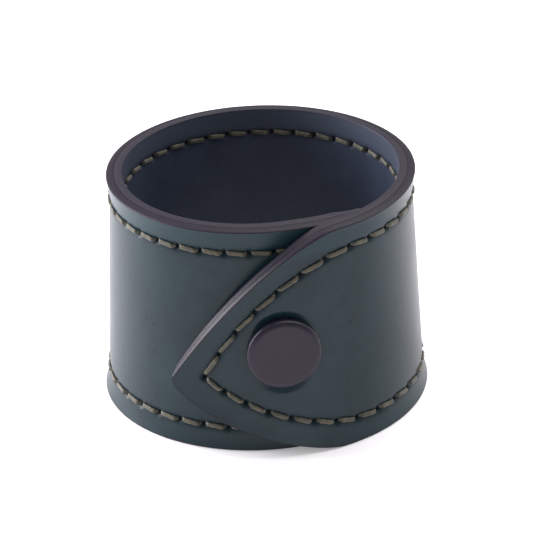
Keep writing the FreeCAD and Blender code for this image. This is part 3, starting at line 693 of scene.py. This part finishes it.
def stitch_mesh(stitch, inner):
    """One visible stitch: a twisted thread that rises out of one hole and dives into the next."""
    (turn0, height0), (turn1, height1) = stitch
    start = np.array([turn_to_along(turn0), height0])
    end = np.array([turn_to_along(turn1), height1])
    length = np.linalg.norm(end - start)
    direction = (end - start) / length
    sideways = np.array([-direction[1], direction[0]])
    distance = np.linspace(THREAD_START, length - THREAD_START, THREAD_RINGS)
    from_hole = np.minimum(distance, length - distance)
    rise = smooth_step(THREAD_START - THREAD_DIVE_LEAD, THREAD_DIVE, from_hole)
    slant = THREAD_SLANT * (2 * distance / length - 1) * (1 if inner else -1)
    centre = start + direction * distance[:, None] + sideways * slant[:, None]
    centre_depth = THREAD_SINK - (THREAD_SINK + THREAD_LIFT) * rise
    angle = np.linspace(0, 2 * math.pi, THREAD_SIDES, endpoint=False)
    filling = smooth_step(THREAD_START, THREAD_FULL, from_hole)
    taper = THREAD_NARROWEST + (1 - THREAD_NARROWEST) * filling
    twist = PLY_COUNT * angle[None, :] - 2 * math.pi * distance[:, None] / PLY_PITCH
    size = (1 - PLY_DEPTH * (1 - np.abs(np.cos(twist / 2)))) * taper[:, None]
    across = THREAD_HALF_WIDTH * np.cos(angle)[None, :] * size
    up = THREAD_HALF_HEIGHT * np.sin(angle)[None, :] * size
    along = centre[:, :1] + sideways[0] * across
    height = centre[:, 1:] + sideways[1] * across
    depth = centre_depth[:, None] - up
    depth = THICKNESS - depth if inner else depth
    on_flap = max(turn0, turn1) < SECTION_TURNS[0]
    return section_points("tip" if on_flap else "band", along, height, depth)


def stitching_piece(section):
    """Every stitch of one section, on both faces."""
    middles = np.array([(a[0] + b[0]) / 2 for a, b in STITCHES])
    place = np.searchsorted([turn + PAST_CUT for turn in SECTION_TURNS], middles, side="right")
    points, faces = [], []
    for index in np.nonzero(place == SECTIONS.index(section))[0]:
        for inner in (False, True):
            start = sum(len(p) for p in points)
            points.append(stitch_mesh(STITCHES[index], inner).reshape(-1, 3))
            for i in range(THREAD_RINGS - 1):
                for j in range(THREAD_SIDES):
                    a = start + i * THREAD_SIDES + j
                    b = start + i * THREAD_SIDES + (j + 1) % THREAD_SIDES
                    quad = (a, b, b + THREAD_SIDES, a + THREAD_SIDES)
                    faces.append(quad if inner else quad[::-1])
            faces.append(tuple(range(start + THREAD_SIDES - 1, start - 1, -1)))
            last = start + (THREAD_RINGS - 1) * THREAD_SIDES
            faces.append(tuple(range(last, last + THREAD_SIDES)))
    return make_object(f"stitching_{section}_made", np.concatenate(points), faces)


def cap_piece():
    """The press stud's cap: a flat, softly bevelled painted disc."""
    flat = CAP_RADIUS - CAP_BEVEL
    profile = [(flat * reach, CAP_FRONT + CAP_DISH * share) for reach, share in CAP_DISH_SHAPE]
    for angle in np.radians(np.linspace(0, 90, BEVEL_POINTS)):
        depth = CAP_FRONT + CAP_BEVEL_DEPTH * (1 - math.cos(angle))
        profile.append((flat + CAP_BEVEL * math.sin(angle), depth))
    profile += [(CAP_RADIUS - CAP_UNDERCUT, CAP_SEAT), (SHANK_RADIUS, CAP_SEAT)]
    profile += [(SHANK_RADIUS, SHANK_END), (0.0, SHANK_END)]
    angles = np.linspace(0, 2 * math.pi, CAP_SEGMENTS, endpoint=False)
    face_radius = float(outer_radius(np.array(SNAP_HEIGHT))) + HALF_STEP
    points, faces = [], []
    for radius, depth in profile:
        x = -HALF_STEP + radius * np.cos(angles)
        z = SNAP_HEIGHT + radius * np.sin(angles)
        y = np.full(CAP_SEGMENTS, CENTRE_Y - face_radius + depth)
        points.append(np.stack([x, y, z], axis=1))
    for i in range(len(profile) - 1):
        for j in range(CAP_SEGMENTS):
            a, b = i * CAP_SEGMENTS + j, i * CAP_SEGMENTS + (j + 1) % CAP_SEGMENTS
            faces.append((a, b, b + CAP_SEGMENTS, a + CAP_SEGMENTS))
    return make_object("snap_cap_made", np.concatenate(points), faces)


# ---------------------------------------------------------------- materials

def linear(red, green, blue):
    """A colour given as on a screen, 0 to 255, as Blender's linear values."""
    values = []
    for part in (red, green, blue):
        part = part / 255
        values.append(part / 12.92 if part <= 0.04045 else ((part + 0.055) / 1.055) ** 2.4)
    return (*values, 1.0)


class Painter:
    """Builds one node material step by step."""

    def __init__(self, name):
        self.material = bpy.data.materials.new(name)
        self.material.use_nodes = True
        self.nodes = self.material.node_tree.nodes
        self.links = self.material.node_tree.links
        self.shader = self.nodes["Principled BSDF"]

    def node(self, kind, **settings):
        """A new node with its settings."""
        made = self.nodes.new(kind)
        for key, value in settings.items():
            setattr(made, key, value)
        return made

    def link(self, source, target):
        """Joins an output to an input."""
        self.links.new(source, target)

    def place(self):
        """Where a point lies on the object at rest, in millimetres."""
        return self.node("ShaderNodeAttribute", attribute_name="rest_place").outputs["Vector"]

    def value(self, name):
        """A number stored on the mesh."""
        return self.node("ShaderNodeAttribute", attribute_name=name).outputs["Fac"]

    def noise(self, scale, detail, roughness, place=None):
        """Cloudy noise; its scale is in cycles per unit of the place."""
        made = self.node("ShaderNodeTexNoise")
        made.inputs["Scale"].default_value = scale
        made.inputs["Detail"].default_value = detail
        made.inputs["Roughness"].default_value = roughness
        self.link(place or self.place(), made.inputs["Vector"])
        return made.outputs["Fac"]

    def ramp(self, source, stops):
        """Colours or greys at positions along a value."""
        made = self.node("ShaderNodeValToRGB")
        elements = made.color_ramp.elements
        while len(elements) < len(stops):
            elements.new(0.5)
        for element, (position, colour) in zip(elements, stops):
            element.position = position
            element.color = colour
        self.link(source, made.inputs["Fac"])
        return made.outputs["Color"]

    def fill(self, socket, value):
        """Gives an input a fixed value or the output of another node."""
        if isinstance(value, (int, float, tuple)):
            socket.default_value = value
        else:
            self.link(value, socket)

    def mix(self, amount, first, second, blend="MIX"):
        """Two colours mixed by an amount."""
        made = self.node("ShaderNodeMix", data_type="RGBA", blend_type=blend)
        factor, colour, other = made.inputs[0], made.inputs[6], made.inputs[7]
        for socket, value in ((factor, amount), (colour, first), (other, second)):
            self.fill(socket, value)
        return made.outputs[2]

    def math(self, operation, first, second):
        """The result of a sum on two values."""
        made = self.node("ShaderNodeMath", operation=operation)
        self.fill(made.inputs[0], first)
        self.fill(made.inputs[1], second)
        return made.outputs[0]

    def bump(self, height, distance, strength):
        """A bumped normal; the distance is in metres."""
        made = self.node("ShaderNodeBump")
        made.inputs["Distance"].default_value = distance
        made.inputs["Strength"].default_value = strength
        self.link(height, made.inputs["Height"])
        return made.outputs["Normal"]


def grey(value):
    """A grey of a linear value."""
    return (value, value, value, 1.0)


def leather_material(name, dark, light, painted_shade, lip, roughness):
    """Smooth satin leather: fine grain, faint cloudy colour, painted shade in the stitching holes and
    along the seams, and a painted lighter top lip.
    """
    paint = Painter(name)
    seam, hole = paint.value("seam"), paint.value("hole")
    cloud = paint.math("MULTIPLY", paint.noise(scale=0.12, detail=5.0, roughness=0.6), 0.75)
    mottle = paint.math("MULTIPLY", paint.noise(scale=1.1, detail=3.0, roughness=0.6), 0.25)
    cloudiness = paint.math("ADD", cloud, mottle)
    colour = paint.ramp(cloudiness, [(0.36, dark), (0.66, light)])
    # Painted light: the top lip is painted lighter than the wall below it, where more light falls
    colour = paint.mix(paint.value("lip"), colour, lip)
    # Painted shade: the leather is darkened along the seams and in the stitching holes, where shade falls
    colour = paint.mix(paint.math("MULTIPLY", seam, 0.35), colour, painted_shade)
    colour = paint.mix(paint.math("MULTIPLY", hole, 0.9), colour, painted_shade)
    paint.link(colour, paint.shader.inputs["Base Color"])
    grain = paint.noise(scale=1.9, detail=2.0, roughness=0.5)
    paint.link(paint.bump(grain, distance=0.00004, strength=0.3), paint.shader.inputs["Normal"])
    rough = paint.ramp(cloudiness, [(0.3, grey(roughness - 0.04)), (0.7, grey(roughness + 0.05))])
    paint.link(paint.mix(hole, rough, grey(0.9)), paint.shader.inputs["Roughness"])
    dull = paint.math("MAXIMUM", hole, paint.math("MULTIPLY", seam, 0.5))
    shine = paint.math("SUBTRACT", 0.28, paint.math("MULTIPLY", dull, 0.26))
    paint.link(shine, paint.shader.inputs["Specular IOR Level"])
    return paint.material


def edge_material():
    """Edge paint: one dark coat over the two leathers, darker over the outer one and lighter over the
    lining, with painted shade for the groove between them.
    """
    paint = Painter("edge_paint")
    outer, inner, line = linear(32, 25, 38), linear(43, 39, 50), linear(10, 8, 13)
    # The line colour is painted shade in the groove between the two leathers
    split = OUTER_LEATHER / THICKNESS
    colour = paint.ramp(
        paint.value("across"),
        [(0.0, outer), (split - 0.05, outer), (split, line), (split + 0.05, inner), (0.97, inner)],
    )
    speck = paint.noise(scale=1.6, detail=4.0, roughness=0.65)
    speck = paint.ramp(speck, [(0.4, grey(0.75)), (0.62, grey(1.0))])
    paint.link(paint.mix(0.6, colour, speck, blend="MULTIPLY"), paint.shader.inputs["Base Color"])
    paint.shader.inputs["Roughness"].default_value = 0.5
    paint.shader.inputs["Specular IOR Level"].default_value = 0.22
    grain = paint.noise(scale=1.8, detail=4.0, roughness=0.6)
    paint.link(paint.bump(grain, distance=0.00008, strength=0.4), paint.shader.inputs["Normal"])
    return paint.material


def thread_material():
    """Waxed olive thread with a faint mottle and fine fibres."""
    paint = Painter("waxed_thread")
    mottle = paint.noise(scale=0.8, detail=4.0, roughness=0.6)
    colour = paint.ramp(mottle, [(0.35, linear(54, 51, 40)), (0.65, linear(82, 77, 60))])
    paint.link(colour, paint.shader.inputs["Base Color"])
    paint.shader.inputs["Roughness"].default_value = 0.62
    paint.shader.inputs["Sheen Weight"].default_value = 0.15
    fibres = paint.noise(scale=7.0, detail=3.0, roughness=0.6)
    paint.link(paint.bump(fibres, distance=0.00004, strength=0.5), paint.shader.inputs["Normal"])
    return paint.material


def metal_material(name, colour, roughness, metallic, made_here=False):
    """Painted or plain press-stud metal with a faint mottle. Only pieces that are made here carry
    their rest place, in millimetres; the frame's own pieces are read in metres."""
    paint = Painter(name)
    place = paint.place() if made_here else paint.node("ShaderNodeTexCoord").outputs["Object"]
    per_mm = 1.0 if made_here else 1 / MM
    mottle = paint.noise(scale=0.9 * per_mm, detail=4.0, roughness=0.6, place=place)
    rough = paint.ramp(mottle, [(0.3, grey(roughness - 0.05)), (0.7, grey(roughness + 0.07))])
    paint.link(rough, paint.shader.inputs["Roughness"])
    worn = tuple(min(1.0, part * 1.25) for part in colour[:3]) + (1.0,)
    paint.link(paint.ramp(mottle, [(0.35, colour), (0.75, worn)]), paint.shader.inputs["Base Color"])
    paint.shader.inputs["Metallic"].default_value = metallic
    paint.shader.inputs["Specular IOR Level"].default_value = 0.3
    grain = paint.noise(scale=1.5 * per_mm, detail=2.0, roughness=0.5, place=place)
    paint.link(paint.bump(grain, distance=0.00002, strength=0.25), paint.shader.inputs["Normal"])
    return paint.material


# Each leather's darkest colour is painted shade for the seams and holes; its lip colour is painted light
# on the top lip
OUTER = leather_material(
    "green_leather",
    dark=linear(18, 36, 42),
    light=linear(27, 47, 54),
    painted_shade=linear(6, 9, 12),
    lip=linear(27, 49, 56),
    roughness=0.3,
)
LINING = leather_material(
    "lining_leather",
    dark=linear(47, 53, 68),
    light=linear(55, 62, 78),
    painted_shade=linear(7, 9, 13),
    lip=linear(60, 66, 80),
    roughness=0.4,
)
EDGE = edge_material()
THREAD = thread_material()
BLACK_METAL = metal_material("black_cap_metal", linear(30, 25, 39), 0.32, 0.0, made_here=True)
SNAP_METAL = metal_material("snap_metal", linear(120, 116, 112), 0.3, 1.0)
SPRING_METAL = metal_material("spring_metal", linear(150, 140, 110), 0.28, 1.0)


# ---------------------------------------------------------------- the pieces, the band's and the cap on their bodies

BODIES = {"tip": ("flap_mid", "flap_tip"), "mid": ("flap_root", "flap_mid"), "root": ("band", "flap_root")}
HINGE_OF = dict(zip(SECTIONS, HINGES))


def node_name(kind, body):
    """The CAD node of a kind of piece on a body."""
    return f"{kind}_{body.replace('flap_', '')}"


def attach(piece, kind, section):
    """Hides the frame's nodes a piece stands for; a band piece goes on the band's body, the others are
    left where they are, on no body.
    """
    if section == "band":
        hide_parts(node_name(kind, "band"))
        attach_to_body(piece, "band")
        return
    near, far = BODIES[section]
    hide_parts(node_name(kind, near), node_name(kind, far))
    for way in (1, -1):
        turn = HINGE_OF[section] + way * BLEND_REACH
        Vector(rolled(turn, HEIGHT / 2, THICKNESS / 2) * MM)
    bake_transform(piece)


LAYERS = (("outer_leather", OUTER, "outer_leather"), ("lining", LINING, "lining_leather"))
for section in reversed(SECTIONS):
    for layer, material, slot in LAYERS:
        piece = leather_piece(layer, section)
        piece.data.materials.append(material)
        attach(piece, layer, section)
    piece = paint_piece(section)
    piece.data.materials.append(EDGE)
    attach(piece, "edge_coat", section)
    piece = stitching_piece(section)
    piece.data.materials.append(THREAD)
    attach(piece, "stitching", section)

cap = cap_piece()
cap.data.materials.append(BLACK_METAL)
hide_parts("snap_cap")
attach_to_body(cap, "flap_tip")

# The rest of the press stud is shown as it is in the frame, with its sharp edges just broken
WELD_REACH = 0.002
EDGE_BREAK = 0.07
for name, material in (
    ("snap_socket", SNAP_METAL),
    ("snap_stud", SNAP_METAL),
    ("snap_post", SNAP_METAL),
    ("socket_spring", SPRING_METAL),
):
    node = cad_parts[name]
    node.data.materials.clear()
    node.data.materials.append(material)
    weld = node.modifiers.new("weld", "WELD")
    weld.merge_threshold = WELD_REACH * MM
    bevel = node.modifiers.new("bevel", "BEVEL")
    bevel.width = EDGE_BREAK * MM
    bevel.segments = 3
    bevel.limit_method = "ANGLE"


# ---------------------------------------------------------------- stage, light and camera

FLOOR_HALF = 3.0  # metres
LIGHT_AIM = (0, 0, 0.02)
SIDE_TINT = (0.98, 0.97, 1.0)


def studio_floor():
    """A white table that runs into the white background, so only the ring's shadow shows on it."""
    mesh = bpy.data.meshes.new("floor")
    near, far = -FLOOR_HALF, FLOOR_HALF
    corners = [(near, near, 0), (far, near, 0), (far, far, 0), (near, far, 0)]
    mesh.from_pydata(corners, [], [(0, 1, 2, 3)])
    floor = bpy.data.objects.new("floor", mesh)
    bpy.context.scene.collection.objects.link(floor)
    material = bpy.data.materials.new("white_table")
    material.use_nodes = True
    shader = material.node_tree.nodes["Principled BSDF"]
    shader.inputs["Base Color"].default_value = (0.76, 0.735, 0.765, 1)
    shader.inputs["Roughness"].default_value = 0.7
    shader.inputs["Emission Color"].default_value = (1, 1, 1, 1)
    shader.inputs["Emission Strength"].default_value = 0.27
    mesh.materials.append(material)


def softbox(name, place, width, power, colour=(1, 1, 1)):
    """A square studio light turned towards the ring; places and widths are in metres."""
    light = bpy.data.lights.new(name, "AREA")
    light.shape = "RECTANGLE"
    light.size, light.size_y = width, width
    light.energy = power
    light.color = colour
    lamp = bpy.data.objects.new(name, light)
    lamp.location = place
    lamp.rotation_mode = "QUATERNION"
    lamp.rotation_quaternion = (Vector(LIGHT_AIM) - Vector(place)).to_track_quat("-Z", "Y")
    bpy.context.scene.collection.objects.link(lamp)


studio_floor()
softbox("top_light", (0.3, 0.15, 0.85), width=0.9, power=9.0)
softbox("left_light", (-0.68, 0.34, 0.3), width=0.6, power=17.0, colour=SIDE_TINT)
softbox("right_light", (0.7, 0.3, 0.3), width=0.6, power=2.2, colour=SIDE_TINT)

world = bpy.data.worlds.new("studio")
world.use_nodes = True
background = world.node_tree.nodes["Background"]
background.inputs["Color"].default_value = (1, 1, 1, 1)
background.inputs["Strength"].default_value = 0.42
bpy.context.scene.world = world

# The camera looks at a point near the ring's middle; its distance is in metres
AZIMUTH, ELEVATION, ROLL = math.radians(-9.16), math.radians(26.7), math.radians(-1.76)
DISTANCE, LENS, SENSOR = 0.584, 229.7, 36
AIM_RIGHT, AIM_HEIGHT = 0.54, 21.18
back = Vector(
    (
        math.sin(AZIMUTH) * math.cos(ELEVATION),
        -math.cos(AZIMUTH) * math.cos(ELEVATION),
        math.sin(ELEVATION),
    )
)
right = Vector((math.cos(AZIMUTH), math.sin(AZIMUTH), 0))
upward = back.cross(right)
rolled_right = right * math.cos(ROLL) + upward * math.sin(ROLL)
rolled_up = upward * math.cos(ROLL) - right * math.sin(ROLL)
aim = Vector((0, CENTRE_Y, AIM_HEIGHT)) * MM + right * AIM_RIGHT * MM
camera = bpy.data.objects.new("camera", bpy.data.cameras.new("camera"))
camera.data.lens = LENS
camera.data.sensor_width = SENSOR
camera.data.clip_start, camera.data.clip_end = 0.05, 10
facing = Matrix((rolled_right, rolled_up, back)).transposed().to_4x4()
camera.matrix_world = Matrix.Translation(aim + back * DISTANCE) @ facing
bpy.context.scene.collection.objects.link(camera)
bpy.context.scene.camera = camera
bpy.context.scene.view_settings.view_transform = "Standard"
